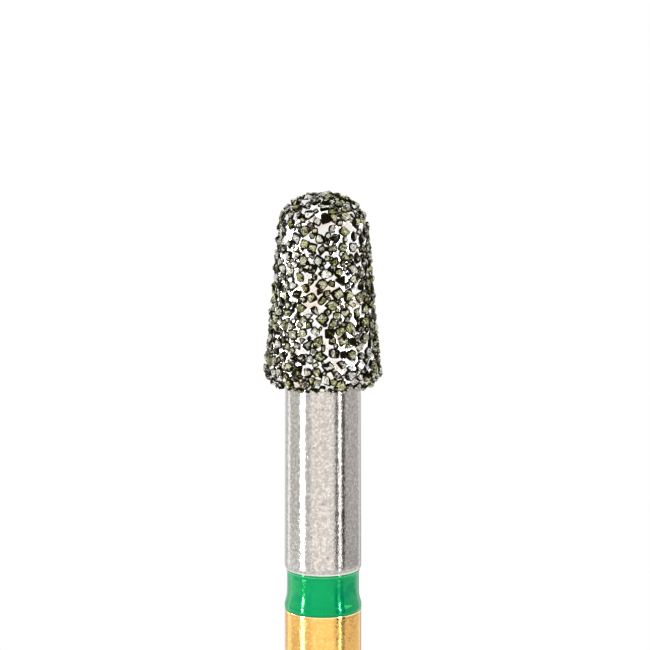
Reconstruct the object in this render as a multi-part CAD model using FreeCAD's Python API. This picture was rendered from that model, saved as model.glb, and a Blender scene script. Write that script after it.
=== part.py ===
# Friction-grip dental bur with a tapered, round-edged diamond head.
#
# Millimetres. +Z runs along the axis from the shank's end face to the tip of the head, and the
# origin is the centre of that end face. The bur is a turned steel blank, a lacquer ring in a groove
# of the blank, a nickel bond plated over the head's core, and the diamond grains that the bond
# holds. A grain is half buried: its buried half counts as bond, and the half that stands out is a
# solid of its own, which stands with a flat foot on the bond's face.

import FreeCAD, Part

import itertools
import math
import os
import random

# Blank: shank, groove and neck
OVERALL_LENGTH = 19.0        # shank end to the tip of the head, over the grit
SHANK_DIAMETER = 1.6         # friction-grip shank, held by the chuck
GRIP_LENGTH = 10.1           # shank end to the colour ring
LEAD_IN_LENGTH = 0.35        # bevel that guides the shank into the chuck
LEAD_IN_DEPTH = 0.2          # what the bevel takes off the radius
LEAD_IN_ROUND = 0.12         # rounding between the bevel and the shank's side
NECK_TOP_DIAMETER = 1.57     # the neck draws in a little towards the head
GROOVE_DEPTH = 0.16          # ring groove, measured on the radius
NECK_EDGE_DEPTH = 0.03       # bevel of the neck's edge above the groove, on the radius
NECK_EDGE_HEIGHT = 0.09

# Colour ring
RING_WIDTH = 0.87            # along the axis
RING_RECESS = 0.046          # how far the ring's waist lies below the shank
RING_LIP_HEIGHT = 0.2        # the lacquer's run-up to the shank at its lower edge
RING_LIP_EDGE = 0.07         # height of the lip's outer edge, flush with the shank
RING_TOP_RISE = 0.05         # height of the smaller run-up under the neck's edge
RING_TOP_FILL = 0.015        # how far that run-up stands out of the ring's waist

# Head, over the grit
HEAD_LENGTH = 4.1
HEAD_DIAMETER = 2.5          # at its widest, just above the base
HEAD_TAPER = 5.0             # degrees between the side and the axis
TIP_EDGE_RADIUS = 0.8
BASE_EDGE_RADIUS = 0.3
CORE_BEVEL = 0.32            # bevel of the core's edge under the rounded tip

# Diamond grains and the nickel that holds them
GRAIN_LARGEST = 0.165        # radius of the ball that a largest grain fits in
GRAIN_SMALLEST = 0.09
GRAIN_SIZES = 5              # sizes of grain, evenly spaced between those two
GRAIN_DARTS = 500            # tries at placing a grain of the largest size
GRAIN_DARTS_MORE = 3300      # further tries for each next size down
GRAIN_NARROWEST = 0.7        # least share of the ball that a grain keeps in any direction
GRAIN_HEIGHT = 0.21          # most that a whole grain measures square to the surface
GRAIN_EXPOSED = 0.5          # share of a grain's height that stands out of the nickel
GRAIN_GAP = 0.003            # least space between two grains
BARE_SPOTS = 34              # places that hold no grain
BARE_RADIUS = 0.14
BOND_FLOOR = 0.05            # nickel left under the deepest grain
GRAIN_SEED = 25

# Worked out from the sizes above
SHANK_RADIUS = SHANK_DIAMETER / 2
GROOVE_RADIUS = SHANK_RADIUS - GROOVE_DEPTH
RING_RADIUS = SHANK_RADIUS - RING_RECESS
RING_TOP = GRIP_LENGTH + RING_WIDTH
HEAD_BASE = OVERALL_LENGTH - HEAD_LENGTH
NECK_TOP_RADIUS = NECK_TOP_DIAMETER / 2
GRIT_PROUD = GRAIN_HEIGHT * GRAIN_EXPOSED
CORE_INSET = GRAIN_HEIGHT + BOND_FLOOR
TAPER = math.radians(HEAD_TAPER)
AXIS_POINT = FreeCAD.Vector(0, 0, 0)
UP = FreeCAD.Vector(0, 0, 1)
FULL_TURN = 360              # degrees
SAME_POINT = 1e-7            # distance under which two points of a profile are one


# Crystal habits of the grains: corner points in a ball of radius 1, and faces seen from outside
def octahedron():
    """Corners and faces of the eight-sided habit."""
    corners = [(1, 0, 0), (-1, 0, 0), (0, 1, 0), (0, -1, 0), (0, 0, 1), (0, 0, -1)]
    upper = [(0, 2, 4), (2, 1, 4), (1, 3, 4), (3, 0, 4)]
    lower = [(2, 0, 5), (1, 2, 5), (3, 1, 5), (0, 3, 5)]
    return corners, upper + lower


def block():
    """Corners and faces of the six-sided habit."""
    reach = 1 / math.sqrt(3)
    signs = (-reach, reach)
    corners = [(x, y, z) for z in signs for y in signs for x in signs]
    faces = [
        (0, 2, 3, 1), (4, 5, 7, 6), (0, 1, 5, 4),
        (2, 6, 7, 3), (0, 4, 6, 2), (1, 3, 7, 5),
    ]
    return corners, faces


def wedge():
    """Corners and faces of the three-cornered, five-sided habit."""
    turns = [2 * math.pi * k / 3 for k in range(3)]
    reach = 0.8
    rise = math.sqrt(1 - reach ** 2)
    corners = [
        (reach * math.cos(turn), reach * math.sin(turn), z) for z in (-rise, rise) for turn in turns
    ]
    faces = [(2, 1, 0), (3, 4, 5), (0, 1, 4, 3), (1, 2, 5, 4), (2, 0, 3, 5)]
    return corners, faces


HABITS = (octahedron(), octahedron(), block(), wedge())


def rounded_profile(corners):
    """Closed face in the XZ plane through (radius, height, rounding) corners."""
    points = [FreeCAD.Vector(r, 0, z) for r, z, _ in corners]
    roundings = [rounding for _, _, rounding in corners]
    edges = []
    starts = []
    ends = []
    for i, point in enumerate(points):
        before = (points[i - 1] - point).normalize()
        after = (points[(i + 1) % len(points)] - point).normalize()
        if roundings[i] <= 0:
            starts.append(point)
            ends.append(point)
            edges.append(None)
            continue
        half_angle = before.getAngle(after) / 2
        reach = roundings[i] / math.tan(half_angle)
        centre = point + (before + after).normalize() * (roundings[i] / math.sin(half_angle))
        middle = centre + (point - centre).normalize() * roundings[i]
        starts.append(point + before * reach)
        ends.append(point + after * reach)
        edges.append(Part.Arc(starts[i], middle, ends[i]).toShape())
    outline = []
    for i, arc in enumerate(edges):
        if arc:
            outline.append(arc)
        start, end = ends[i], starts[(i + 1) % len(points)]
        if start.distanceToPoint(end) > SAME_POINT:
            outline.append(Part.LineSegment(start, end).toShape())
    return Part.Face(Part.Wire(outline))


def turned(corners):
    """Solid of revolution about the bur's axis."""
    return rounded_profile(corners).revolve(AXIS_POINT, UP, FULL_TURN)


def head_corners(inset):
    """Base and tip corners of the head's outline, moved inwards from the outline over the grit."""
    arc_radius = HEAD_DIAMETER / 2 - BASE_EDGE_RADIUS
    arc_height = HEAD_BASE + BASE_EDGE_RADIUS
    side = BASE_EDGE_RADIUS - inset

    def side_radius(height):
        return arc_radius + (side - math.sin(TAPER) * (height - arc_height)) / math.cos(TAPER)

    base = HEAD_BASE + inset
    tip = OVERALL_LENGTH - inset
    return [
        (side_radius(base), base, max(BASE_EDGE_RADIUS - inset, 0)),
        (side_radius(tip), tip, max(TIP_EDGE_RADIUS - inset, 0)),
    ]


def core_corners():
    """Base corner of the core inside the head, and the two corners of its tip bevel."""
    (base_radius, base, _), (tip_radius, tip, _) = head_corners(CORE_INSET)
    return [
        (base_radius, base, 0),
        (tip_radius + CORE_BEVEL * math.tan(TAPER), tip - CORE_BEVEL, 0),
        (tip_radius - CORE_BEVEL, tip, 0),
    ]


def neck_radius(height):
    """Radius of the neck, which draws in from the ring groove to the core's base."""
    share = (height - RING_TOP) / (HEAD_BASE + CORE_INSET - RING_TOP)
    return SHANK_RADIUS + (NECK_TOP_RADIUS - SHANK_RADIUS) * share


def bur_blank():
    """The turned steel blank: shank, ring groove, neck and the head's core."""
    return turned([
        (0, 0, 0),
        (SHANK_RADIUS - LEAD_IN_DEPTH, 0, 0),
        (SHANK_RADIUS, LEAD_IN_LENGTH, LEAD_IN_ROUND),
        (SHANK_RADIUS, GRIP_LENGTH, 0),
        (GROOVE_RADIUS, GRIP_LENGTH, 0),
        (GROOVE_RADIUS, RING_TOP, 0),
        (SHANK_RADIUS - NECK_EDGE_DEPTH, RING_TOP, 0),
        (neck_radius(RING_TOP + NECK_EDGE_HEIGHT), RING_TOP + NECK_EDGE_HEIGHT, 0),
        (NECK_TOP_RADIUS, HEAD_BASE + CORE_INSET, 0),
        *core_corners(),
        (0, OVERALL_LENGTH - CORE_INSET, 0),
    ])


def colour_ring():
    """The lacquer band in the groove, hollowed between the run-ups at its two edges."""
    lip_top = FreeCAD.Vector(SHANK_RADIUS, 0, GRIP_LENGTH + RING_LIP_EDGE)
    lip_bend = FreeCAD.Vector(RING_RADIUS, 0, GRIP_LENGTH + RING_LIP_HEIGHT)
    waist = FreeCAD.Vector(RING_RADIUS, 0, GRIP_LENGTH + RING_WIDTH / 2)
    top_bend = FreeCAD.Vector(RING_RADIUS, 0, RING_TOP - RING_TOP_RISE)
    top_edge = FreeCAD.Vector(RING_RADIUS + RING_TOP_FILL, 0, RING_TOP)
    back_high = FreeCAD.Vector(GROOVE_RADIUS, 0, RING_TOP)
    back_low = FreeCAD.Vector(GROOVE_RADIUS, 0, GRIP_LENGTH)
    lip_foot = FreeCAD.Vector(SHANK_RADIUS, 0, GRIP_LENGTH)
    lower = Part.BezierCurve()
    lower.setPoles([lip_top, lip_bend, waist])
    upper = Part.BezierCurve()
    upper.setPoles([waist, top_bend, top_edge])
    straight = Part.makePolygon([top_edge, back_high, back_low, lip_foot, lip_top])
    outline = Part.Wire([lower.toShape(), upper.toShape(), *straight.Edges])
    return Part.Face(outline).revolve(AXIS_POINT, UP, FULL_TURN)


def nickel_bond():
    """The nickel layer plated round the head's core, up to the neck."""
    base, tip = head_corners(GRIT_PROUD)
    core_base, *core_tip = core_corners()
    return turned([
        (neck_radius(base[1]), base[1], 0),
        base,
        tip,
        (0, tip[1], 0),
        (0, core_tip[-1][1], 0),
        *reversed(core_tip),
        core_base,
        (NECK_TOP_RADIUS, core_base[1], 0),
    ])


class HeadSurface:
    """The bond's outer face, as a line from the tip's centre to the base edge, turned round."""

    def __init__(self):
        base, tip = head_corners(GRIT_PROUD)
        self.tip_arc = self.rounding_centre(tip, math.pi / 2 - TAPER, -1)
        self.base_arc = self.rounding_centre(base, math.pi / 2 + TAPER, 1)
        upper = self.arc_point(self.tip_arc, TAPER)
        lower = self.arc_point(self.base_arc, TAPER)
        self.side_start = upper
        self.lengths = (
            self.tip_arc[0],
            self.tip_arc[2] * (math.pi / 2 - TAPER),
            math.dist(upper, lower),
            self.base_arc[2] * (math.pi / 2 + TAPER),
        )

    @staticmethod
    def rounding_centre(corner, sweep, side):
        """Radius and height of a rounding's centre, with its size."""
        radius, height, rounding = corner
        return radius - rounding * math.tan(sweep / 2), height + side * rounding, rounding

    @staticmethod
    def arc_point(centre, lift):
        """Point of a rounding where its outward normal is lifted by an angle from level."""
        radius, height, rounding = centre
        return radius + rounding * math.cos(lift), height + rounding * math.sin(lift)

    def at(self, along):
        """Radius, height and the normal's lift at a length along the line."""
        flat, tip_arc, side, _ = self.lengths
        if along < flat:
            return along, self.arc_point(self.tip_arc, math.pi / 2)[1], math.pi / 2
        along -= flat
        if along < tip_arc:
            lift = math.pi / 2 - along / self.tip_arc[2]
            return (*self.arc_point(self.tip_arc, lift), lift)
        along -= tip_arc
        if along < side:
            radius, height = self.side_start
            return radius + along * math.sin(TAPER), height - along * math.cos(TAPER), TAPER
        lift = TAPER - (along - side) / self.base_arc[2]
        return (*self.arc_point(self.base_arc, lift), lift)

    def dart(self, chance):
        """A random point of the face, as likely in any equal area, with its outward normal."""
        radius = 0
        while chance.uniform(0, HEAD_DIAMETER / 2) >= radius:
            radius, height, lift = self.at(chance.uniform(0, sum(self.lengths)))
        turn = chance.uniform(0, 2 * math.pi)
        point = FreeCAD.Vector(radius * math.cos(turn), radius * math.sin(turn), height)
        level = math.cos(lift)
        normal = FreeCAD.Vector(level * math.cos(turn), level * math.sin(turn), math.sin(lift))
        return point, normal


class Grain:
    """One whole crystal: a habit stretched and turned at random, and set at a point of the bond."""

    def __init__(self, point, normal, radius, chance):
        habit_corners, self.faces = chance.choice(HABITS)
        stretch = [chance.uniform(GRAIN_NARROWEST, 1) * radius for _ in range(3)]
        axis = FreeCAD.Vector(*(chance.gauss(0, 1) for _ in range(3)))
        turn = FreeCAD.Rotation(axis, chance.uniform(0, FULL_TURN))
        corners = [
            turn.multVec(FreeCAD.Vector(*(part * size for part, size in zip(corner, stretch))))
            for corner in habit_corners
        ]
        top = max(corner.z for corner in corners)
        height = top - min(corner.z for corner in corners)
        lift = height * GRAIN_EXPOSED - top
        flatten = min(1, GRAIN_HEIGHT / height)
        self.corners = [FreeCAD.Vector(c.x, c.y, (c.z + lift) * flatten) for c in corners]
        self.reach = max(corner.Length for corner in self.corners)
        self.point = point
        self.stand = FreeCAD.Placement(point, FreeCAD.Rotation(UP, normal))
        self.placed = [self.stand.multVec(corner) for corner in self.corners]
        self.planes = [self.outer_plane(*(self.placed[i] for i in face[:3])) for face in self.faces]

    @staticmethod
    def outer_plane(first, second, third):
        """Outward direction of a face and the level along it that clears the face."""
        outward = (second - first).cross(third - first).normalize()
        return outward, outward.dot(first) + GRAIN_GAP

    def has_in_front(self, other):
        """Whether one of the faces has the whole of the other crystal in front of it."""
        return any(
            all(outward.dot(corner) > level for corner in other.placed)
            for outward, level in self.planes
        )

    def clears(self, other):
        """Whether the two crystals stand apart."""
        if self.point.distanceToPoint(other.point) > self.reach + other.reach + GRAIN_GAP:
            return True
        return self.has_in_front(other) or other.has_in_front(self)

    def exposed(self):
        """Solid of the part that stands out of the nickel, on its flat foot."""
        shell = Part.Shell([
            Part.Face(Part.makePolygon([self.corners[i] for i in (*face, face[0])]))
            for face in self.faces
        ])
        size = 2 * self.reach
        corner = FreeCAD.Vector(-self.reach, -self.reach, 0)
        solid = Part.Solid(shell).common(Part.makeBox(size, size, size, corner)).Solids[0]
        solid.Placement = self.stand
        return solid


def scattered_grains():
    """Crystals thrown on the bond's face at random, the largest first, none touching another."""
    chance = random.Random(GRAIN_SEED)
    surface = HeadSurface()
    bare = [surface.dart(chance)[0] for _ in range(BARE_SPOTS)]
    cell = 2 * math.hypot(GRAIN_LARGEST, GRAIN_HEIGHT) + GRAIN_GAP
    found = {}
    for size in range(GRAIN_SIZES):
        share = size / max(GRAIN_SIZES - 1, 1)
        radius = GRAIN_LARGEST + share * (GRAIN_SMALLEST - GRAIN_LARGEST)
        for _ in range(GRAIN_DARTS + size * GRAIN_DARTS_MORE):
            point, normal = surface.dart(chance)
            if min(point.distanceToPoint(spot) for spot in bare) < BARE_RADIUS:
                continue
            grain = Grain(point, normal, radius, chance)
            place = tuple(math.floor(part / cell) for part in point)
            around = itertools.product(*((part - 1, part, part + 1) for part in place))
            near = [other for key in around for other in found.get(key, ())]
            if all(grain.clears(other) for other in near):
                found.setdefault(place, []).append(grain)
    return [grain for grains in found.values() for grain in grains]


def build():
    """Writes each piece of the bur to its own file."""
    pieces = {
        "bur_blank": bur_blank(),
        "colour_ring": colour_ring(),
        "nickel_bond": nickel_bond(),
        "diamond_grit": Part.makeCompound([grain.exposed() for grain in scattered_grains()]),
    }
    os.makedirs("parts", exist_ok=True)
    for name, shape in pieces.items():
        shape.exportStep(f"parts/{name}.step")
        print(name, len(shape.Solids), "solids,", round(shape.Volume, 4), "mm3")


build()
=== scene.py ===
"""Looks of a friction-grip dental bur with a diamond-coated head.

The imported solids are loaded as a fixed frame, and each is replaced by a finished piece of the
same place and size: the turned shaft, the colour ring, the nickel coat and the diamond crystals.
Shapes are worked in millimetres and brought down to metres at the end, because the edit tools
treat points less than a micrometre apart as one.
"""

import logging
import math
import random
from collections.abc import Iterator, Sequence
from contextlib import contextmanager
from dataclasses import dataclass
from enum import Enum

import bpy
import numpy as np
from bpy.types import Material, Mesh, Object
from mathutils import Matrix, Vector, noise
from mathutils.bvhtree import BVHTree

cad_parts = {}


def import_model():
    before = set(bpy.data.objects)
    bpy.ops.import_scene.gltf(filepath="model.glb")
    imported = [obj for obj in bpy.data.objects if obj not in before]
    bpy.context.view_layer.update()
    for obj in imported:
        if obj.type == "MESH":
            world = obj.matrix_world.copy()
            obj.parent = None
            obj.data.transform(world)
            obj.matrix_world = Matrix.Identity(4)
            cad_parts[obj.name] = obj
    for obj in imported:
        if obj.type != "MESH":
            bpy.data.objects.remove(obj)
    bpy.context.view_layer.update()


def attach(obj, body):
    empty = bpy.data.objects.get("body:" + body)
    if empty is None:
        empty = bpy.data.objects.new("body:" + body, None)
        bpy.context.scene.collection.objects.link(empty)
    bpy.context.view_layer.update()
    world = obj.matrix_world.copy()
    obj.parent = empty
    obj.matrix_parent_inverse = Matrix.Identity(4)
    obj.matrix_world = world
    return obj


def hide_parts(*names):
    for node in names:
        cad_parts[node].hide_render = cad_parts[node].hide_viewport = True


MM = 0.001
BODY = "root"
SAME_POINT = 1e-4  # millimetres under which the points of a turned piece are merged
AT_CORNER = 2e-3  # millimetres within which an edge belongs to a corner of a profile
ABOVE_ZERO = 1e-6  # millimetres, the least that a length is divided by

Pair = tuple[float, float]
Colour = Triple = tuple[float, float, float]
Profile = Sequence[Pair]

log = logging.getLogger("dental_bur")


class Node(Enum):
    """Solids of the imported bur."""

    BLANK = "bur_blank"
    RING = "colour_ring"
    BOND = "nickel_bond"
    GRIT = "diamond_grit"


class Slot(Enum):
    """Material slots of the record."""

    STEEL = "steel"
    LACQUER = "green_lacquer"
    NICKEL = "nickel"
    DIAMOND = "diamond"


# --- shader sums ---


class Wire:
    """A shader value that adds its Math nodes when it is written in a sum."""

    def __init__(self, shader: "Shader", socket: bpy.types.NodeSocket) -> None:
        """Keeps the output socket and the shader it belongs to."""
        self.shader = shader
        self.socket = socket

    def __add__(self, other: "Wire | float") -> "Wire":
        """Sum of two values."""
        return self.shader.math("ADD", self, other)

    def __sub__(self, other: "Wire | float") -> "Wire":
        """Difference of two values."""
        return self.shader.math("SUBTRACT", self, other)

    def __rsub__(self, other: float) -> "Wire":
        """Difference of a number and this value."""
        return self.shader.math("SUBTRACT", other, self)

    def __mul__(self, other: "Wire | float") -> "Wire":
        """Product of two values."""
        return self.shader.math("MULTIPLY", self, other)

    __radd__ = __add__
    __rmul__ = __mul__

    def larger(self, other: "Wire | float") -> "Wire":
        """The larger of two values."""
        return self.shader.math("MAXIMUM", self, other)

    def step(self, low: float, high: float) -> "Wire":
        """Smooth rise from 0 at the first value to 1 at the second, which may be the lower."""
        inputs = {"Value": self, "From Min": low, "From Max": high}
        return self.shader.add("ShaderNodeMapRange", {"interpolation_type": "SMOOTHSTEP"}, inputs)


class Shader:
    """Node tree of a material or of the world, built value by value."""

    def __init__(self, owner: Material | bpy.types.World) -> None:
        """Empties the owner's node tree.

        Args:
            owner: The material or world that the tree belongs to.
        """
        owner.use_nodes = True
        self.tree = owner.node_tree
        self.tree.nodes.clear()

    def add(
        self,
        kind: str,
        settings: dict[str, object] | None = None,
        inputs: dict[str | int, object] | None = None,
        output: str | int = 0,
    ) -> Wire:
        """Adds a node.

        Args:
            kind: The node's type.
            settings: Its settings.
            inputs: Numbers, colours or wires for its sockets.
            output: The socket to go on with.

        Returns:
            The output as a wire.
        """
        node = self.tree.nodes.new(kind)
        for name, value in (settings or {}).items():
            setattr(node, name, value)
        for key, value in (inputs or {}).items():
            socket = node.inputs[key]
            if isinstance(value, Wire):
                self.tree.links.new(value.socket, socket)
            elif socket.type == "RGBA":
                socket.default_value = (*value, 1)
            else:
                socket.default_value = value
        return Wire(self, node.outputs[output])

    def math(self, operation: str, first: "Wire | float", second: "Wire | float") -> Wire:
        """Adds one Math node."""
        return self.add("ShaderNodeMath", {"operation": operation}, {0: first, 1: second})

    def place(self, stretch: Triple = (1, 1, 1)) -> Wire:
        """Place on the piece in millimetres, each axis times a factor."""
        spot, scale = self.add("ShaderNodeTexCoord", output="Object"), [s / MM for s in stretch]
        return self.add("ShaderNodeVectorMath", {"operation": "MULTIPLY"}, {0: spot, 1: scale})

    def height(self, spot: Wire) -> Wire:
        """Height of a place above the shank's end."""
        return self.add("ShaderNodeSeparateXYZ", {}, {0: spot}, "Z")

    def noise(self, spot: Wire, scale: float, detail: float = 2, roughness: float = 0.5) -> Wire:
        """Cloudy value from 0 to 1 with so many swells to a millimetre."""
        inputs = {"Vector": spot, "Scale": scale, "Detail": detail, "Roughness": roughness}
        return self.add("ShaderNodeTexNoise", {}, inputs)

    def cells(self, spot: Wire, scale: float) -> Wire:
        """Distance from the nearest of so many scattered points to a millimetre."""
        return self.add("ShaderNodeTexVoronoi", {}, {"Vector": spot, "Scale": scale})

    def stored(self, name: str, output: str = "Fac") -> Wire:
        """Value that the mesh stores under a name."""
        return self.add("ShaderNodeAttribute", {"attribute_name": name}, output=output)

    def mix(self, share: "Wire | float", first: "Wire | Colour", second: "Wire | Colour") -> Wire:
        """Colour between two colours."""
        settings = {"data_type": "RGBA"}
        return self.add("ShaderNodeMix", settings, {0: share, 6: first, 7: second}, 2)

    def bump(self, height: Wire, depth: float) -> Wire:
        """Normal of a relief that is so many micrometres deep."""
        inputs = {"Height": height, "Distance": depth * MM * MM}
        return self.add("ShaderNodeBump", {}, inputs, "Normal")

    def surface(self, inputs: dict[str, object]) -> None:
        """Ends a material in one shader with these inputs."""
        body = self.add("ShaderNodeBsdfPrincipled", {}, inputs)
        self.add_end("ShaderNodeOutputMaterial", body)

    def add_end(self, kind: str, body: Wire) -> None:
        """Links a shader to the output node."""
        node = self.tree.nodes.new(kind)
        self.tree.links.new(body.socket, node.inputs["Surface"])


def new_shader(name: str) -> tuple[Material, Shader]:
    """Makes a material and its empty shader."""
    material = bpy.data.materials.new(name)
    return material, Shader(material)


# --- finishes ---


@dataclass(frozen=True)
class SteelFinish:
    """Fine turned steel of the neck, with speckle and pits, painted sparkles and a painted
    highlight along its lower edge.

    The cut is the height where the painted highlight on the lower edge starts and the lower one
    where it is full. Every finish has its relief in micrometres.
    """

    colour: Colour = (0.615, 0.585, 0.555)
    stain: Colour = (0.33, 0.30, 0.28)
    # pale colour of the painted sparkles and of the painted highlight on the lower edge
    highlight_colour: Colour = (0.95, 0.93, 0.91)
    # heights where the painted highlight on the lower edge starts and where it is full
    cut: Pair = (11.035, 11.0)
    relief: float = 3.4
    name: str = "turned_steel"

    def material(self) -> Material:
        """Builds the material.

        Returns:
            The material.
        """
        material, shader = new_shader(self.name)
        spot = shader.place()
        peel = shader.noise(spot, 8, 2)
        speckle = shader.noise(spot, 17, 3, 0.65)
        pits = 1 - shader.cells(spot, 5).step(0.07, 0.15)
        dents = peel * 0.6 + speckle - pits * 0.3
        worn = speckle.step(0.58, 0.36) * 0.55 + pits * 0.8
        # painted highlight: bright speckles as painted sparkles, and a painted band on the lower
        # edge
        painted_highlight = (speckle.step(0.54, 0.7) * 0.55).larger(shader.height(spot).step(*self.cut))
        body = shader.mix(worn, self.colour, self.stain)
        shader.surface({
            "Base Color": shader.mix(painted_highlight, body, self.highlight_colour),
            "Metallic": 1,
            "Roughness": speckle * 0.08 + 0.03,
            "Normal": shader.bump(dents, self.relief),
        })
        return material


@dataclass(frozen=True)
class GoldFinish:
    """Gold plating of the shank, with the faint orange peel of the steel below.

    It has painted sparkles and a painted highlight along its top edge.
    """

    colour: Colour = (0.98, 0.565, 0.165)
    deep: Colour = (0.72, 0.34, 0.07)
    # colour of the painted sparkles and of the painted highlight on the top edge
    pale: Colour = (1.0, 0.78, 0.4)
    # heights where the painted highlight on the top edge starts and where it is full
    edge: Pair = (10.055, 10.08)
    relief: float = 5
    name: str = "gold_plating"

    def material(self) -> Material:
        """Builds the material.

        Returns:
            The material.
        """
        material, shader = new_shader(self.name)
        spot = shader.place()
        peel = shader.noise(spot, 6, 3)
        speckle = shader.noise(spot, 16, 2, 0.6)
        dents = peel + speckle * 0.3
        tint = peel.step(0.5, 0.3) * 0.22 + speckle.step(0.58, 0.38) * 0.3
        body = shader.mix(tint, self.colour, self.deep)
        # painted highlight: bright speckles as painted sparkles, and a painted band along the top
        # edge
        painted_highlight = (speckle.step(0.58, 0.72) * 0.6).larger(shader.height(spot).step(*self.edge))
        shader.surface({
            "Base Color": shader.mix(painted_highlight, body, self.pale),
            "Metallic": 1,
            "Roughness": speckle * 0.1 + 0.05,
            "Normal": shader.bump(dents, self.relief),
        })
        return material


@dataclass(frozen=True)
class LacquerFinish:
    """Green lacquer of the ring: glossy and a little uneven, with painted shade at its borders and
    a painted reflection along its lip.

    Two heights place a dark line above the bead and the painted reflection along the lip, and the
    foot and the rim each give a height where the painted shade at a border starts and one where it
    is full.
    """

    colour: Colour = (0.0, 0.262, 0.122)
    # deep colour for random unevenness, a dark line above the bead and painted shade at the
    # borders
    deep: Colour = (0.0, 0.17, 0.045)
    # colour of the painted reflection along the lip
    lip_reflection: Colour = (0.13, 0.56, 0.31)
    gloss: Colour = (0.0, 1.0, 0.05)
    # height of a broken dark line above the bead
    bead_line: float = 10.212
    lip: float = 10.935
    # heights of the painted shade at the foot, where the ring meets the gold
    foot: Pair = (10.135, 10.12)
    # heights of the painted shade under the neck's edge
    rim: Pair = (10.953, 10.962)
    relief: float = 6
    name: str = "green_lacquer"

    def material(self) -> Material:
        """Builds the material.

        Returns:
            The material.
        """
        material, shader = new_shader(self.name)
        spot = shader.place()
        flow = shader.noise(spot, 3, 2)
        ripple = shader.noise(spot, 13, 1)
        dust = 1 - shader.cells(spot, 8).step(0.04, 0.1)
        height = shader.height(spot)
        bead_line = self.line(height, self.bead_line, 0.012) * flow.step(0.42, 0.5)
        # painted shade at the foot of the ring and under the neck's edge
        foot = height.step(*self.foot) * 0.7
        border = height.step(*self.rim).larger(foot)
        # random unevenness, the dark line above the bead and the painted shade, all towards the
        # deep colour
        tone_and_painted_shade = (flow.step(0.35, 0.7) * 0.15).larger(bead_line * 0.7).larger(border)
        # painted reflection: lighter along the lip
        body = shader.mix(self.line(height, self.lip, 0.02) * 0.7, self.colour, self.lip_reflection)
        shader.surface({
            "Base Color": shader.mix(tone_and_painted_shade, body, self.deep),
            "Roughness": flow * 0.05 + 0.03,
            "IOR": 2.1,
            "Specular Tint": self.gloss,
            "Coat Weight": 0.045,
            "Coat IOR": 2.5,
            "Coat Roughness": 0.05,
            "Normal": shader.bump(flow + dust * 0.5 + ripple * 0.25, self.relief),
        })
        return material

    @staticmethod
    def line(height: Wire, middle: float, reach: float) -> Wire:
        """1 at a height, falling to 0 within a reach above and below it."""
        return height.step(middle - reach, middle) - height.step(middle, middle + reach)


@dataclass(frozen=True)
class NickelFinish:
    """Bright plated nickel between the crystals, with painted contact shade where it meets them.

    The contact is the distance from a crystal where the painted shade ends and the one where all
    is bright.
    """

    colour: Colour = (0.87, 0.86, 0.85)
    warm: Colour = (0.85, 0.71, 0.62)
    # colour of the painted contact shade round each crystal
    shade: Colour = (0.003, 0.0025, 0.002)
    contact: Pair = (0.014, 0.024)
    relief: float = 7
    name: str = "plated_nickel"

    def material(self) -> Material:
        """Builds the material.

        Returns:
            The material.
        """
        material, shader = new_shader(self.name)
        spot = shader.place()
        patches = shader.noise(spot, 1.6, 2).step(0.5, 0.62)
        nodules = shader.noise(spot, 22, 2)
        plain = shader.mix(patches * 0.85, self.colour, self.warm)
        # painted contact shade: 0 next to a crystal, 1 clear of it; the painted shade is not
        # metallic
        outside_painted_shade = shader.stored("crystal_gap").step(*self.contact)
        shader.surface({
            "Base Color": shader.mix(outside_painted_shade, self.shade, plain),
            "Metallic": outside_painted_shade,
            "Specular IOR Level": 0.03,
            "Roughness": nodules * 0.1 + 0.05,
            "Normal": shader.bump(nodules, self.relief),
        })
        return material


@dataclass(frozen=True)
class CrystalFinish:
    """Diamond crystals: each has a tone of its own, with a painted glow and painted glints in its
    middle and painted shade at its edges.
    """

    # colour of the painted shade at the crystals' edges
    edge: Colour = (0.0055, 0.0046, 0.0003)
    # colour of the painted glints
    clear: Colour = (0.88, 0.9, 0.78)
    relief: float = 2
    name: str = "diamond_crystal"

    def material(self) -> Material:
        """Builds the material.

        Returns:
            The material.
        """
        material, shader = new_shader(self.name)
        spot = shader.place()
        cloud = shader.noise(spot, 14, 2)
        mottle = shader.noise(spot, 27, 2)
        grain = shader.noise(spot, 45, 2)
        core = shader.stored("crystal_core")
        tone = shader.stored("crystal_tone", "Color")
        # painted light: the stored lightness of each point, made cloudy
        depth = core + (cloud - 0.5) * 1.1
        # painted light and shade: dark edges as painted shade, with dark mottling in the lit
        # middle
        light = depth.step(0.41, 0.55) * (1 - mottle.step(0.45, 0.37) * 0.8)
        # painted glints, bright in the innermost middle and in scattered flecks
        painted_glint = (depth.step(0.95, 1.3) * 0.55).larger(mottle.step(0.56, 0.64) * 0.85)
        middle = shader.mix(painted_glint, tone, self.clear)
        shader.surface({
            "Base Color": shader.mix(light, self.edge, middle),
            "Roughness": grain * 0.2 + 0.12,
            "Specular IOR Level": 0.03,
            "Coat Weight": light * 0.35,
            "Coat IOR": 1.6,
            "Coat Roughness": 0.06,
            "Normal": shader.bump(grain, self.relief),
        })
        return material


# --- edit tools ---


class Select(Enum):
    """What an edit acts on."""

    POINTS = (True, False, False)
    EDGES = (False, True, False)
    FACES = (False, False, True)


def activate(piece: Object) -> None:
    """Makes a piece the only selected object.

    Args:
        piece: The piece to select.
    """
    bpy.ops.object.select_all(action="DESELECT")
    piece.select_set(True)
    bpy.context.view_layer.objects.active = piece


@contextmanager
def editing(piece: Object, select: Select = Select.POINTS) -> Iterator[None]:
    """Opens a piece in edit mode with its own selection, and closes it afterwards.

    Args:
        piece: The piece to work on.
        select: Whether points, edges or faces are worked on.

    Yields:
        Nothing.
    """
    activate(piece)
    bpy.context.tool_settings.mesh_select_mode = select.value
    bpy.ops.object.mode_set(mode="EDIT")
    yield
    bpy.ops.object.mode_set(mode="OBJECT")


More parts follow.
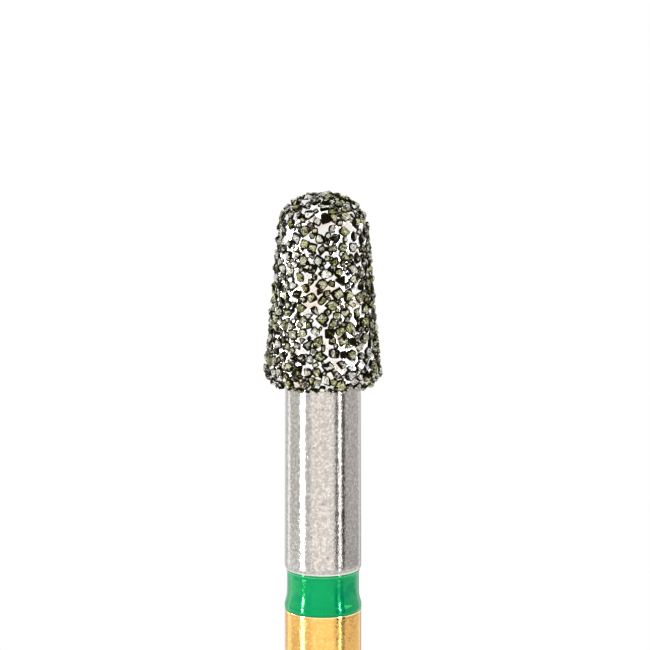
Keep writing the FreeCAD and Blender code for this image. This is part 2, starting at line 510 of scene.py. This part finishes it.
def pick(piece: Object, select: Select, chosen: Sequence[bool]) -> None:
    """Selects edges or faces of a piece in object mode.

    Args:
        piece: The piece.
        select: Edges or faces.
        chosen: Whether each is selected.
    """
    mesh = piece.data
    for parts in (mesh.vertices, mesh.edges, mesh.polygons):
        parts.foreach_set("select", np.zeros(len(parts), bool))
    parts = mesh.edges if select is Select.EDGES else mesh.polygons
    parts.foreach_set("select", np.asarray(chosen, bool))
    mesh.update()


def points_of(piece: Object) -> np.ndarray:
    """Reads where a piece's points are.

    Args:
        piece: The piece.

    Returns:
        One row for each point.
    """
    flat = np.zeros(len(piece.data.vertices) * 3)
    piece.data.vertices.foreach_get("co", flat)
    return flat.reshape(-1, 3)


def turned(name: str, profile: Profile, sides: int, hollow: bool = False) -> Object:
    """Turns a profile into a piece, by extruding a circle upwards and resizing it at each corner.

    Args:
        name: The piece's name.
        profile: Radius and height of each corner, from the lower end.
        sides: Number of sides round the axis.
        hollow: Whether the profile closes on itself round an open middle.

    Returns:
        The piece, with its normals outwards.
    """
    radius, height = profile[0]
    bpy.ops.mesh.primitive_circle_add(
        vertices=sides,
        radius=radius,
        fill_type="NOTHING" if hollow else "NGON",
        location=(0, 0, height),
    )
    piece = bpy.context.object
    piece.name = piece.data.name = name
    bpy.ops.object.transform_apply()
    with editing(piece, Select.EDGES):
        bpy.ops.mesh.select_all(action="SELECT")
        for next_radius, next_height in profile[1:]:
            rise = {"value": (0, 0, next_height - height)}
            bpy.ops.mesh.extrude_region_move(TRANSFORM_OT_translate=rise)
            share = next_radius / radius
            bpy.ops.transform.resize(value=(share, share, 1), center_override=(0, 0, next_height))
            radius, height = next_radius, next_height
        bpy.ops.mesh.select_all(action="SELECT")
        bpy.ops.mesh.remove_doubles(threshold=SAME_POINT)
        bpy.ops.mesh.normals_make_consistent(inside=False)
    return piece


@dataclass(frozen=True)
class Rounding:
    """Rounding of one corner of a profile: how far it reaches and its number of parts."""

    corner: int
    reach: float
    parts: int


def round_corners(piece: Object, profile: Profile, roundings: Sequence[Rounding]) -> None:
    """Rounds the edges that some corners of a profile make.

    Args:
        piece: A turned piece.
        profile: The profile that it was turned from.
        roundings: The corners to round, in order.
    """
    for rounding in roundings:
        radius, height = profile[rounding.corner]
        points = points_of(piece)
        off_radius = np.abs(np.hypot(points[:, 0], points[:, 1]) - radius)
        near = (off_radius < AT_CORNER) & (np.abs(points[:, 2] - height) < AT_CORNER)
        pick(piece, Select.EDGES, [near[list(edge.vertices)].all() for edge in piece.data.edges])
        with editing(piece, Select.EDGES):
            bpy.ops.mesh.bevel(offset=rounding.reach, segments=rounding.parts, affect="EDGES")


def runs(profile: Profile, longest: float) -> list[Pair]:
    """Divides the runs of a profile.

    Args:
        profile: The profile.
        longest: The longest that a run may be.

    Returns:
        The profile with further corners.
    """
    found = [profile[0]]
    for start, end in zip(profile, profile[1:]):
        count = max(1, math.ceil(math.dist(start, end) / longest))
        for k in range(1, count + 1):
            found.append(tuple(a + (b - a) * k / count for a, b in zip(start, end)))
    return found


def smooth(piece: Object, angle: float = 180) -> None:
    """Shades a piece smooth but for edges sharper than an angle in degrees."""
    activate(piece)
    bpy.ops.object.shade_smooth_by_angle(angle=math.radians(angle))


def chip_corners(share: float) -> None:
    """Cuts off the selected corners at a percentage of their edges."""
    bpy.ops.mesh.bevel(offset_type="PERCENT", offset_pct=share, segments=1, affect="VERTICES")


def settle(piece: Object, node: Node) -> None:
    """Brings a piece from millimetres to its size and ties it to the frame.

    Args:
        piece: The piece, worked in millimetres.
        node: The solid that it stands for.
    """
    activate(piece)
    piece.scale = (MM, MM, MM)
    bpy.ops.object.transform_apply()
    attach(piece, BODY)
    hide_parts(node.value)
    piece.data.calc_loop_triangles()
    log.info("%s: %d triangles", piece.name, len(piece.data.loop_triangles))


# --- the bur ---


@dataclass
class Shaft:
    """The turned blank: shank with a bevelled end, ring groove and neck."""

    sides: int = 128
    shank_radius: float = 0.8
    grip_length: float = 10.1
    lead_in: Pair = (0.6, 0.35)
    groove_radius: float = 0.64
    ring_top: float = 10.97
    neck_edge: Pair = (0.03, 0.09)
    hold: float = 0.08
    neck_draw: float = 0.0003
    neck_top: Pair = (0.785, 15.12)
    crease: float = 35
    steel: SteelFinish = SteelFinish()
    gold: GoldFinish = GoldFinish()

    ROUNDINGS = (
        Rounding(0, 0.04, 3),
        Rounding(1, 0.06, 4),
        Rounding(4, 0.022, 3),
        Rounding(7, 0.012, 2),
    )

    def profile(self) -> list[Pair]:
        """Lays out the profile, with a corner near each end of a long face to hold its shading.

        Returns:
            Radius and height of each corner, from the shank's end.
        """
        cut, rise = self.neck_edge
        return [
            (self.lead_in[0], 0),
            (self.shank_radius, self.lead_in[1]),
            (self.shank_radius, self.lead_in[1] + self.hold),
            (self.shank_radius, self.grip_length - self.hold),
            (self.shank_radius, self.grip_length),
            (self.groove_radius, self.grip_length),
            (self.groove_radius, self.ring_top),
            (self.shank_radius - cut, self.ring_top),
            (self.shank_radius - cut / 6, self.ring_top + rise * 0.6),
            (self.shank_radius, self.ring_top + rise * 1.5),
            (self.shank_radius - self.neck_draw, self.ring_top + rise * 1.5 + self.hold),
            self.neck_top,
        ]

    def build(self) -> None:
        """Models the shaft and dresses the shank in gold and the neck in steel."""
        corners = self.profile()
        piece = turned("bur_shaft", corners, self.sides)
        round_corners(piece, corners, self.ROUNDINGS)
        piece.data.materials.append(self.steel.material())
        piece.data.materials.append(self.gold.material())
        for face in piece.data.polygons:
            face.material_index = int(face.center.z < self.grip_length)
        smooth(piece, self.crease)
        settle(piece, Node.BLANK)


@dataclass
class ColourRing:
    """The lacquer band: a bead at the shank, a hollow waist and a run-up under the neck.

    A corner of the bead is a radius and a height above the foot. One of the waist is a distance
    out of it and a height above the foot, and one of the run-up the same but below the top.
    """

    sides: int = 128
    groove_radius: float = 0.64
    low: float = 10.1
    high: float = 10.97
    waist: float = 0.752
    crease: float = 40
    finish: LacquerFinish = LacquerFinish()

    BEAD = ((0.796, 0), (0.806, 0.052), (0.803, 0.13))
    WAIST = ((0.007, 0.27), (0, 0.44))
    RUN_UP = ((0, 0.07), (0.017, 0.012), (0.013, 0))
    ROUNDINGS = (
        Rounding(5, 0.08, 5),
        Rounding(4, 0.08, 7),
        Rounding(3, 0.035, 5),
        Rounding(6, 0.05, 5),
        Rounding(2, 0.014, 3),
        Rounding(7, 0.008, 3),
    )

    def build(self) -> None:
        """Models the ring."""
        corners = [
            (self.groove_radius, self.low),
            *((radius, self.low + height) for radius, height in self.BEAD),
            *((self.waist + out, self.low + height) for out, height in self.WAIST),
            *((self.waist + out, self.high - drop) for out, drop in self.RUN_UP),
            (self.groove_radius, self.high),
            (self.groove_radius, self.low),
        ]
        piece = turned("lacquer_ring", corners, self.sides, hollow=True)
        round_corners(piece, corners, self.ROUNDINGS)
        piece.data.materials.append(self.finish.material())
        smooth(piece, self.crease)
        settle(piece, Node.RING)


@dataclass(frozen=True)
class HeadForm:
    """The nickel's outline: a tapered side between a rounded base and a rounded tip.

    Small crystals are thrown on an outline of finer runs, past its bare points at the neck.
    """

    taper: float = math.radians(5)
    base_centre: Pair = (0.95, 15.2)
    base_radius: float = 0.195
    tip_centre: Pair = (0.1856, 18.2)
    tip_radius: float = 0.695
    neck: Pair = (0.786, 14.95)
    fillet: Pair = (0.84, 14.998)
    pole: float = 0.03
    fine_run: float = 0.03
    bare_points: int = 4

    @staticmethod
    def arc(centre: Pair, radius: float, low: float, high: float, parts: int) -> Profile:
        """Points of an arc between two angles above level.

        Args:
            centre: Radius and height of its centre.
            radius: Its own radius.
            low: First angle.
            high: Last angle.
            parts: Number of parts.

        Returns:
            Radius and height of each point.
        """
        out, up = centre
        angles = [low + (high - low) * k / parts for k in range(parts + 1)]
        return [(out + radius * math.cos(a), up + radius * math.sin(a)) for a in angles]

    def outline(self, step: float) -> list[Pair]:
        """Lays out the profile from the neck to the middle of the tip.

        Args:
            step: The longest that a run may be.

        Returns:
            Radius and height of each corner.
        """
        quarter = math.pi / 2
        base_parts = math.ceil((quarter + self.taper) * self.base_radius / step) + 1
        tip_parts = math.ceil((quarter - self.taper) * self.tip_radius / step)
        corners = [
            self.neck,
            self.fillet,
            *self.arc(self.base_centre, self.base_radius, -quarter, self.taper, base_parts),
            *self.arc(self.tip_centre, self.tip_radius, self.taper, quarter, tip_parts),
            (self.pole, self.tip_centre[1] + self.tip_radius),
        ]
        return runs(corners, step)

    def outward(self, point: Vector) -> Vector:
        """Finds the direction square to the outline at the place nearest to a point.

        Args:
            point: A place on the head or near it.

        Returns:
            The direction, of length one.
        """
        radius = math.hypot(point.x, point.y)
        for centre, side in ((self.tip_centre, 1), (self.base_centre, -1)):
            lift = math.atan2(point.z - centre[1], max(radius - centre[0], ABOVE_ZERO))
            if side * (lift - self.taper) > 0:
                break
        else:
            lift = self.taper
        level = math.cos(lift) / max(radius, ABOVE_ZERO)
        return Vector((point.x * level, point.y * level, math.sin(lift)))

    def dart(self, chance: random.Random) -> Vector:
        """Throws a point on the head, as likely in any equal area.

        Args:
            chance: The row of random numbers.

        Returns:
            The point.
        """
        outline = self.outline(self.fine_run)[self.bare_points :]
        weights = [math.dist(a, b) * (a[0] + b[0]) for a, b in zip(outline, outline[1:])]
        (place,) = chance.choices(range(len(weights)), weights)
        share = chance.random()
        radius, height = (a + (b - a) * share for a, b in zip(outline[place], outline[place + 1]))
        turn = chance.uniform(0, 2 * math.pi)
        return Vector((radius * math.cos(turn), radius * math.sin(turn), height))


class Habit(Enum):
    """Forms of the small crystals."""

    PEBBLE = "pebble"
    BLOCK = "block"
    PRISM = "prism"


@dataclass
class SmallCrystals:
    """Small crystals that fill in beside the large ones, in drifts.

    The nearest is a share of a crystal's radius and the furthest a length past it, both from a
    large crystal. The spacing is a share of both radii. Depth and height are shares of the radius.
    """

    form: HeadForm
    tries: int = 2400
    radii: Pair = (0.034, 0.062)
    nearest: float = 0.45
    furthest: float = 0.055
    spacing: float = 0.85
    drift: float = 1.5
    drift_edge: Pair = (-0.35, 0.2)
    squeeze: Triple = (1, 0.82, 0.74)
    unevenness: float = 0.16
    chip: float = 26
    tilt: float = 0.6
    depths: Pair = (0.6, 1)
    heights: Pair = (0.8, 1.1)
    seed: int = 7

    def habit(self, habit: Habit) -> Object:
        """Models one form at a radius of one.

        Args:
            habit: Which form.

        Returns:
            The form, with chipped corners.
        """
        if habit is Habit.PEBBLE:
            bpy.ops.mesh.primitive_ico_sphere_add(subdivisions=1, radius=1)
        elif habit is Habit.BLOCK:
            bpy.ops.mesh.primitive_cube_add(size=1.3)
        else:
            bpy.ops.mesh.primitive_cylinder_add(vertices=5, radius=0.9, depth=1.3)
        crystal = bpy.context.object
        with editing(crystal):
            bpy.ops.mesh.select_all(action="SELECT")
            bpy.ops.transform.resize(value=self.squeeze, center_override=(0, 0, 0))
            bpy.ops.transform.vertex_random(offset=self.unevenness, seed=len(habit.value))
            if habit is not Habit.PEBBLE:
                chip_corners(self.chip)
        return crystal

    def places(self, tree: BVHTree) -> list[tuple[Vector, float]]:
        """Chooses points of the nickel beside large crystals.

        Args:
            tree: The large crystals.

        Returns:
            Places and radii of small crystals, none too near to another.
        """
        chance = random.Random(self.seed)
        found = []
        for _ in range(self.tries):
            point = self.form.dart(chance)
            size = chance.uniform(*self.radii)
            gap = tree.find_nearest(point)[3]
            if not size * self.nearest < gap < size + self.furthest:
                continue
            if noise.noise(point * self.drift) < chance.uniform(*self.drift_edge):
                continue
            if all((point - spot).length > self.spacing * (size + near) for spot, near in found):
                found.append((point, size))
        return found

    def build(self, tree: BVHTree) -> list[Object]:
        """Sets copies of the forms on the nickel.

        Args:
            tree: The large crystals.

        Returns:
            One object for each small crystal, in millimetres.
        """
        chance = random.Random(self.seed + 1)
        habits = [self.habit(habit) for habit in Habit]
        copies = []
        for point, size in self.places(tree):
            shape = chance.choice(habits).data.copy()
            spin = Matrix.Rotation(chance.uniform(0, 2 * math.pi), 4, "Z")
            tilt = Matrix.Rotation(chance.uniform(0, self.tilt), 4, "X")
            stand = self.form.outward(point).to_track_quat("Z", "Y").to_matrix().to_4x4()
            depth, height = chance.uniform(*self.depths), chance.uniform(*self.heights)
            stretch = Matrix.Diagonal((size, size * depth, size * height, 1))
            shape.transform(Matrix.Translation(point) @ stand @ spin @ tilt @ stretch)
            copy = bpy.data.objects.new("small_crystal", shape)
            bpy.context.scene.collection.objects.link(copy)
            copies.append(copy)
        for habit in habits:
            bpy.data.objects.remove(habit)
        log.info("%d small crystals", len(copies))
        return copies


@dataclass
class Crystals:
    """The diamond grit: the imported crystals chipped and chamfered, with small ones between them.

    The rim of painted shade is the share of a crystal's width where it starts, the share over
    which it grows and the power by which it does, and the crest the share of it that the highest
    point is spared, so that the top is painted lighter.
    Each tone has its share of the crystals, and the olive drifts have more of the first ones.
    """

    form: HeadForm
    same_point: float = 0.0008
    same_plane: float = 1
    chip: float = 21
    wear: float = 0.02
    wear_swells: float = 7
    chamfer: float = 0.0055
    border: float = 0.011
    smallest_facet: float = 0.0015
    # lightness at the facets' borders, a painted shade between facets
    edge_light: float = 0.5
    facet_light: Pair = (0.3, 1.9)
    rim: Triple = (0.36, 0.4, 1.2)
    crest: float = 0.6
    tone_light: Pair = (0.7, 1.35)
    olive_swells: float = 0.8
    olive_place: Triple = (3, 1, 0)
    olive_pull: float = 0.9
    olive_limits: Pair = (0.3, 0.25)
    seed: int = 11
    finish: CrystalFinish = CrystalFinish()

    TONES = (
        (0.30, (0.16, 0.155, 0.024)),
        (0.20, (0.33, 0.32, 0.125)),
        (0.22, (0.27, 0.268, 0.175)),
        (0.20, (0.62, 0.62, 0.55)),
        (0.08, (0.085, 0.06, 0.035)),
    )

    def build(self) -> Object:
        """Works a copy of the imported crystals, adds the small ones and dresses all of them.

        Returns:
            The crystals, in metres.
        """
        mesh = bpy.data.objects[Node.GRIT.value].data.copy()
        mesh.transform(Matrix.Scale(1 / MM, 4))
        mesh.materials.clear()
        piece = bpy.data.objects.new("diamond_crystals", mesh)
        bpy.context.scene.collection.objects.link(piece)
        with editing(piece, Select.FACES):
            bpy.ops.mesh.select_all(action="SELECT")
            bpy.ops.mesh.remove_doubles(threshold=self.same_point)
            bpy.ops.mesh.dissolve_limited(angle_limit=math.radians(self.same_plane))
            chip_corners(self.chip)
        self.wear_down(piece)
        with editing(piece, Select.EDGES):
            bpy.ops.mesh.select_all(action="SELECT")
            bpy.ops.mesh.bevel(offset=self.chamfer, segments=1, affect="EDGES", clamp_overlap=True)
        small = SmallCrystals(self.form).build(face_tree(piece))
        activate(piece)
        for crystal in small:
            crystal.select_set(True)
        bpy.ops.object.join()
        pick(piece, Select.FACES, [face.area > self.smallest_facet for face in mesh.polygons])
        with editing(piece, Select.FACES):
            bpy.ops.mesh.inset(thickness=self.border, use_individual=True)
        self.paint(piece)
        piece.data.materials.append(self.finish.material())
        settle(piece, Node.GRIT)
        return piece

    def wear_down(self, piece: Object) -> None:
        """Bends the crystals a little, each in its own way, so that none is a perfect form.

        Args:
            piece: The crystals.
        """
        noise.seed_set(self.seed)
        points = points_of(piece)
        bend = [noise.noise_vector(Vector(point) * self.wear_swells) for point in points]
        points += np.array(bend) * self.wear
        piece.data.vertices.foreach_set("co", points.ravel())
        piece.data.update()

    def paint(self, piece: Object) -> None:
        """Stores the painted light and shade of each point of a crystal, and each crystal's tone.

        Args:
            piece: The crystals, with the middle of each facet selected.
        """
        mesh = piece.data
        chance = random.Random(self.seed)
        facet = np.full(len(mesh.vertices), self.edge_light)
        for face in mesh.polygons:
            if face.select:
                facet[list(face.vertices)] = chance.uniform(*self.facet_light)
        points = points_of(piece)
        _, crystal = np.unique(self.groups(mesh), return_inverse=True)
        size = np.bincount(crystal)
        middle = np.stack([np.bincount(crystal, points[:, k]) / size for k in range(3)], 1)
        # painted light and shade of each point: lit middle, shaded rim
        store(mesh, "crystal_core", self.core(points, crystal, middle) * facet)
        tones = np.array([self.tone(chance, place) for place in middle])
        attribute = mesh.attributes.new("crystal_tone", "FLOAT_COLOR", "POINT")
        attribute.data.foreach_set("color", tones[crystal].ravel())

    def core(self, points: np.ndarray, crystal: np.ndarray, middle: np.ndarray) -> np.ndarray:
        """Works out each point's painted light and shade by its place in its crystal.

        Args:
            points: Places of the points.
            crystal: Number of each point's crystal.
            middle: Middle of each crystal.

        Returns:
            1 in the middle as painted light, less at the rim as painted shade, and least where the
            rim is low.
        """
        outward = np.array([self.form.outward(Vector(place)) for place in middle])
        arm = points - middle[crystal]
        height = (arm * outward[crystal]).sum(1)
        across = np.linalg.norm(arm - outward[crystal] * height[:, None], axis=1)
        widest, foot, top = (np.full(len(middle), start) for start in (0.0, np.inf, -np.inf))
        np.maximum.at(widest, crystal, across)
        np.minimum.at(foot, crystal, height)
        np.maximum.at(top, crystal, height)
        raised = (height - foot[crystal]) / (top - foot)[crystal]
        start, reach, power = self.rim
        rim = np.clip((across / widest[crystal] - start) / reach, 0, 1) ** power
        # painted shade at the rim, spared towards the crystal's top, which is painted lighter
        return 1 - rim * (1 - self.crest * raised)

    def tone(self, chance: random.Random, place: np.ndarray) -> tuple[float, float, float, float]:
        """Chooses a crystal's tone.

        Args:
            chance: The row of random numbers.
            place: The middle of the crystal.

        Returns:
            The colour, with full cover.
        """
        level = chance.uniform(*self.tone_light)
        least, most = self.olive_limits
        drift = Vector(place) * self.olive_swells + Vector(self.olive_place)
        olive = noise.noise(drift) * self.olive_pull
        left = chance.random() * max(least, 1 - max(olive, 0)) + min(max(-olive, 0), most)
        for share, tone in self.TONES:
            left -= share
            if left <= 0:
                break
        return (*(part * level for part in tone), 1)

    @staticmethod
    def groups(mesh: Mesh) -> np.ndarray:
        """Finds the points that hang together, by passing the lowest number along the edges.

        Args:
            mesh: The crystals.

        Returns:
            For each point, the number of the first point of its crystal.
        """
        ends = np.array([tuple(edge.vertices) for edge in mesh.edges])
        first, before = np.arange(len(mesh.vertices)), None
        while not np.array_equal(first, before):
            before = first.copy()
            np.minimum.at(first, ends, before[ends].min(1, keepdims=True))
        return first


def face_tree(piece: Object, scale: float = 1) -> BVHTree:
    """Faces of a piece, to look for the nearest one."""
    corners = [Vector(point) for point in points_of(piece) * scale]
    return BVHTree.FromPolygons(corners, [tuple(face.vertices) for face in piece.data.polygons])


def store(mesh: Mesh, name: str, values: np.ndarray) -> None:
    """Stores a number for each point of a mesh."""
    attribute = mesh.attributes.new(name, "FLOAT", "POINT")
    attribute.data.foreach_set("value", values.astype(np.float32))


@dataclass
class NickelCoat:
    """The plated layer that holds the crystals, drawn up round each of them."""

    form: HeadForm
    sides: int = 84
    row: float = 0.085
    climb: float = 0.02
    climb_width: float = 0.028
    swell: float = 0.006
    swells: float = 6
    halvings: int = 2
    finish: NickelFinish = NickelFinish()

    def build(self, crystals: Object) -> None:
        """Models the coat and draws it up round the crystals.

        Args:
            crystals: The finished crystals, in metres.
        """
        piece = turned("nickel_coat", self.form.outline(self.row), self.sides)
        refine = piece.modifiers.new("finer", "SUBSURF")
        refine.levels = refine.render_levels = self.halvings
        activate(piece)
        bpy.ops.object.modifier_apply(modifier=refine.name)
        self.draw_up(piece, crystals)
        piece.data.materials.append(self.finish.material())
        smooth(piece)
        settle(piece, Node.BOND)

    def draw_up(self, piece: Object, crystals: Object) -> None:
        """Raises the coat where it meets a crystal and stores the distance to the nearest one.

        Args:
            piece: The coat, in millimetres.
            crystals: The finished crystals, in metres.
        """
        tree = face_tree(crystals, 1 / MM)
        points = points_of(piece)
        normals = np.zeros(points.size)
        piece.data.vertices.foreach_get("normal", normals)
        gaps = np.array([tree.find_nearest(Vector(point))[3] for point in points])
        uneven = np.array([noise.noise(Vector(point) * self.swells) for point in points])
        rise = self.climb * np.exp(-gaps / self.climb_width) + uneven * self.swell
        points += normals.reshape(-1, 3) * rise[:, None]
        piece.data.vertices.foreach_set("co", points.ravel())
        store(piece.data, "crystal_gap", gaps)
        piece.data.update()


# --- the studio ---


@dataclass(frozen=True)
class Card:
    """An upright card round the bur: its middle and width in degrees from the camera's side.

    A glint card shows in gloss only and lights nothing.
    """

    middle: float
    width: float
    level: float
    low: float = 0
    high: float = 17
    tint: Colour = (1, 1, 1)
    glint: bool = False


@dataclass(frozen=True)
class Lamp:
    """A soft lamp that looks at the bur, with angles in degrees.

    The azimuth is from the camera's side and the lift above level. The span is its height as the
    bur sees it.
    """

    azimuth: float
    lift: float
    span: float
    level: float


@dataclass
class Studio:
    """Floor, white surroundings, cards, lamps and camera.

    Lengths are in millimetres, but in metres for the camera and the lamp overhead. The fade is
    where the floor starts to turn white and where it is white.
    """

    elevation: float = 13.3
    distance: float = 0.2
    aim: Triple = (0.042, 0, 16.182)
    frame_width: float = 13.51
    sensor: float = 36
    clip: Pair = (0.01, 5)
    floor_radius: float = 260
    floor_sides: int = 96
    floor_grey: float = 0.86
    fade: Pair = (14, 32)
    ambient: float = 0.62
    card_radius: float = 26
    glint_radius: float = 25
    lamp_reach: float = 70
    lamp_aim: float = 14
    lamp_width: float = 6
    top_place: Triple = (0, -0.02, 0.13)
    top_axis: Triple = (0, -0.02, 0.11)
    top_size: float = 0.1
    top_level: float = 0.8

    # Heights where cards end: below GOLD they show in the shank, below RING in the ring, below
    # BASE in the neck, and above HEAD in the head alone.
    GOLD, STRIPE, RING, NECK, BASE, HEAD, TOP = 3.4, 3.7, 4.35, 6.5, 10, 13.8, 17
    WARM, ROSY = (1.03, 1, 0.965), (1.02, 1, 1)
    CARDS = (
        Card(-63.2, 9.6, 2.4, RING),
        Card(-63.6, 13, 6.5, 0, GOLD),
        Card(52.4, 8.8, 2.4, RING),
        Card(52.4, 5.4, 3.6, 0, GOLD),
        Card(-2, 66, 1.22, 0, GOLD, WARM),
        Card(-2, 66, 1.36, GOLD, RING, WARM),
        Card(-2, 66, 1.22, RING, TOP, WARM),
        Card(-47, 14, 0.86, 0, GOLD),
        Card(-47, 14, 1.35, GOLD, RING),
        Card(-47, 14, 0.86, RING),
        Card(42.6, 8.6, 0.04, STRIPE, RING),
        Card(42.6, 8.6, 0.04, RING, NECK),
        Card(42.6, 8.6, 0.12, NECK),
        Card(42.8, 7.6, 0.8, 0, STRIPE),
        Card(62.8, 12, 0.04, STRIPE, RING),
        Card(62.8, 12, 0.02, RING, NECK),
        Card(62.8, 12, 0.1, NECK),
        Card(63, 12, 0.48, 0, STRIPE),
        Card(102.6, 67, 0.35, GOLD, RING),
        Card(102.6, 67, 0.67, RING, HEAD, ROSY),
        Card(102.6, 67, 2.6, HEAD),
        Card(102.6, 67, 0.84, 0, GOLD),
        Card(143, 12, 1.0),
        Card(161, 22, 0.55),
        Card(175, 4, 0.05),
        Card(-93.5, 46, 0.82, 0, GOLD),
        Card(-93.5, 46, 1.35, GOLD, RING),
        Card(-93.5, 46, 0.82, RING, BASE),
        Card(-93.5, 46, 1.12, BASE),
        Card(-124.5, 9, 1.6, RING),
        Card(-121, 20, 1.3, 0, RING),
        Card(-147, 28, 0.8),
        Card(-172, 5, 0.05),
        Card(-64, 4.4, 100, 5.3, 15.8, glint=True),
        Card(52, 3.6, 100, 11.3, 19.5, glint=True),
        Card(-105, 5, 60, 14, 22, glint=True),
    )
    LAMPS = (Lamp(-65, 22, 18, 28.0), Lamp(51.5, 22, 16, 19.0))

    def build(self) -> None:
        """Sets up the whole studio."""
        self.add_camera()
        self.add_world()
        self.add_floor()
        for number, card in enumerate(self.CARDS):
            self.add_card(number, card)
        for lamp in self.LAMPS:
            self.add_lamp(lamp)
        self.add_top_lamp()

    def add_camera(self) -> None:
        """Adds the camera at the photograph's viewing angle."""
        lift = math.radians(self.elevation)
        target = Vector(self.aim) * MM
        away = Vector((0, -math.cos(lift), math.sin(lift))) * self.distance
        bpy.ops.object.camera_add(location=target + away, rotation=(math.pi / 2 - lift, 0, 0))
        camera = bpy.context.object
        camera.data.sensor_width = self.sensor
        camera.data.lens = self.sensor * self.distance / (self.frame_width * MM)
        camera.data.clip_start, camera.data.clip_end = self.clip
        bpy.context.scene.camera = camera

    @staticmethod
    def seen_white(shader: Shader) -> Wire:
        """Tells rays that show the surroundings from rays that only carry light.

        Args:
            shader: The shader of the floor or the world.

        Returns:
            1 for the first and 0 for the others.
        """
        names = ("Is Camera Ray", "Is Glossy Ray", "Is Transmission Ray")
        first, *rest = (shader.add("ShaderNodeLightPath", output=name) for name in names)
        for wire in rest:
            first = first.larger(wire)
        return first

    def add_world(self) -> None:
        """Makes the surroundings white, and their light a plain level."""
        world = bpy.data.worlds.new("studio_white")
        bpy.context.scene.world = world
        shader = Shader(world)
        strength = self.seen_white(shader) * (1 - self.ambient) + self.ambient
        sky = shader.add("ShaderNodeBackground", {}, {"Color": (1, 1, 1), "Strength": strength})
        shader.add_end("ShaderNodeOutputWorld", sky)

    def add_floor(self) -> None:
        """Adds the floor, which fades from a lit surface at the foot to white further out."""
        bpy.ops.mesh.primitive_circle_add(
            vertices=self.floor_sides, radius=self.floor_radius * MM, fill_type="NGON"
        )
        floor = bpy.context.object
        floor.name = "floor"
        material, shader = new_shader("pale_floor")
        spot = shader.place((1, 1, 0))
        away = shader.add("ShaderNodeVectorMath", {"operation": "LENGTH"}, {0: spot}, "Value")
        share = away.step(*self.fade) * self.seen_white(shader)
        lit = shader.add("ShaderNodeBsdfDiffuse", {}, {"Color": (self.floor_grey,) * 3})
        white = shader.add("ShaderNodeEmission", {}, {"Color": (1, 1, 1), "Strength": 1})
        body = shader.add("ShaderNodeMixShader", {}, {0: share, 1: lit, 2: white})
        shader.add_end("ShaderNodeOutputMaterial", body)
        floor.data.materials.append(material)

    def add_card(self, number: int, card: Card) -> None:
        """Adds one upright card that the camera doesn't see.

        Args:
            number: The card's number, for its name.
            card: Its place and brightness.
        """
        turn = math.radians(card.middle)
        radius = (self.glint_radius if card.glint else self.card_radius) * MM
        place = Vector((math.sin(turn), -math.cos(turn), 0)) * radius
        place.z = (card.low + card.high) * MM / 2
        bpy.ops.mesh.primitive_plane_add(size=1, location=place, rotation=(math.pi / 2, 0, turn))
        panel = bpy.context.object
        panel.name = f"card_{number}"
        width = 2 * radius * math.tan(math.radians(card.width) / 2)
        panel.scale = (width, (card.high - card.low) * MM, 1)
        bpy.ops.object.transform_apply()
        panel.visible_camera = False
        panel.visible_diffuse = panel.visible_shadow = not card.glint
        material, shader = new_shader(panel.name)
        glow = shader.add("ShaderNodeEmission", {}, {"Color": card.tint, "Strength": card.level})
        shader.add_end("ShaderNodeOutputMaterial", glow)
        panel.data.materials.append(material)

    @staticmethod
    def area_lamp(place: Vector, axis: Vector, size: Pair, level: float) -> None:
        """Adds a flat lamp.

        Args:
            place: Where it hangs.
            axis: The direction of its back.
            size: Its width and height.
            level: Its brightness.
        """
        bpy.ops.object.light_add(type="AREA", location=place)
        lamp = bpy.context.object
        lamp.rotation_euler = axis.to_track_quat("Z", "Y").to_euler()
        lamp.data.shape = "RECTANGLE"
        lamp.data.size, lamp.data.size_y = size
        lamp.data.energy = 4 * lamp.data.size * lamp.data.size_y * level

    def add_lamp(self, lamp: Lamp) -> None:
        """Adds a soft lamp that looks at the bur.

        Args:
            lamp: Its direction, span and brightness.
        """
        reach = self.lamp_reach * MM
        turn, rise = math.radians(lamp.azimuth), math.radians(lamp.lift)
        out = math.cos(rise)
        towards = Vector((math.sin(turn) * out, -math.cos(turn) * out, math.sin(rise)))
        place = Vector((0, 0, self.lamp_aim * MM)) + towards * reach
        width, height = (
            2 * reach * math.tan(math.radians(span) / 2) for span in (self.lamp_width, lamp.span)
        )
        self.area_lamp(place, towards, (width, height), lamp.level)

    def add_top_lamp(self) -> None:
        """Adds the wide soft lamp overhead."""
        size = (self.top_size, self.top_size)
        self.area_lamp(Vector(self.top_place), Vector(self.top_axis), size, self.top_level)


def main() -> None:
    """Builds the pieces of the bur in order, then the studio."""
    logging.basicConfig(level=logging.INFO, format="%(name)s: %(message)s")
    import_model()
    Shaft().build()
    ColourRing().build()
    form = HeadForm()
    crystals = Crystals(form).build()
    NickelCoat(form).build(crystals)
    Studio().build()
    bpy.context.scene.view_settings.view_transform = "Standard"


if __name__ == "__main__":
    main()
